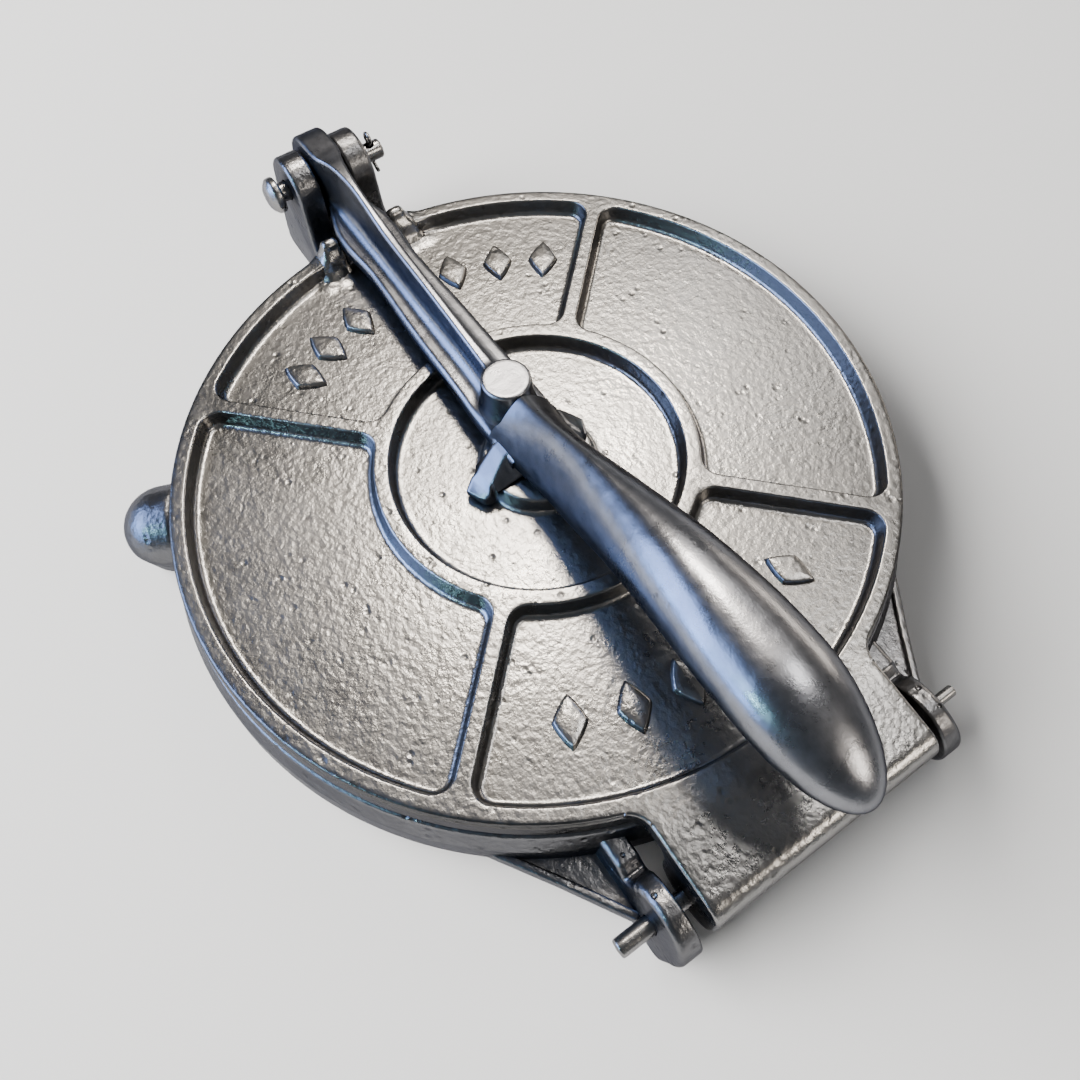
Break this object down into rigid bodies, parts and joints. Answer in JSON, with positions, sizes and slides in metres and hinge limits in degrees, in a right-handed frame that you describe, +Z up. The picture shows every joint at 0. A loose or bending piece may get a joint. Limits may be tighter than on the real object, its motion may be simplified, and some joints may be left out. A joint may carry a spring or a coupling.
{
  "type": "tortilla press",
  "caption": "Round cast-iron tortilla press with a hinged upper plate and a long lever that pivots in a clevis and presses on the middle of the plate.",
  "frame": {"origin": "on the table under the middle of the whole press lengthwise, on the middle plane of lever, lid and hinge sideways (the left foot reaches 2.5 mm further out than the right side); the plates' centre is 4.4 mm towards the lid's hinge", "axes": "+X runs from the lever's clevis to the lid's hinge, +Y to the side, +Z up"},
  "size_m": [0.258, 0.2095, 0.0736],
  "materials": {
    "base_iron": "bright hot-tinned casting",
    "lid_iron": "bright hot-tinned casting, pitted in the pockets",
    "lever_iron": "bright hot-tinned casting, smooth on the grip",
    "pin_steel": "tinned wire and rivet steel"
  },
  "bodies": {
    "base": {"base": "base_iron", "hinge_pin_left": "pin_steel", "hinge_pin_right": "pin_steel", "lever_pin": "pin_steel", "lever_cotter": "pin_steel"},
    "lid": {"lid": "lid_iron"},
    "lever": {"lever": "lever_iron"}
  },
  "joints": [
    {"name": "lever_pivot", "type": "hinge", "parent": "base", "child": "lever", "pos_m": [-0.1149, 0, 0.0405], "axis": [0, -1, 0], "range_deg": [0, 180]},
    {"name": "lid_hinge", "type": "hinge", "parent": "base", "child": "lid", "pos_m": [0.1177, 0, 0.0133], "axis": [0, 1, 0], "range_deg": [0, 110]}
  ],
  "couplings": [
    {"joint": "lid_hinge", "follows": "lever_pivot", "ratio": 0.12}
  ]
}
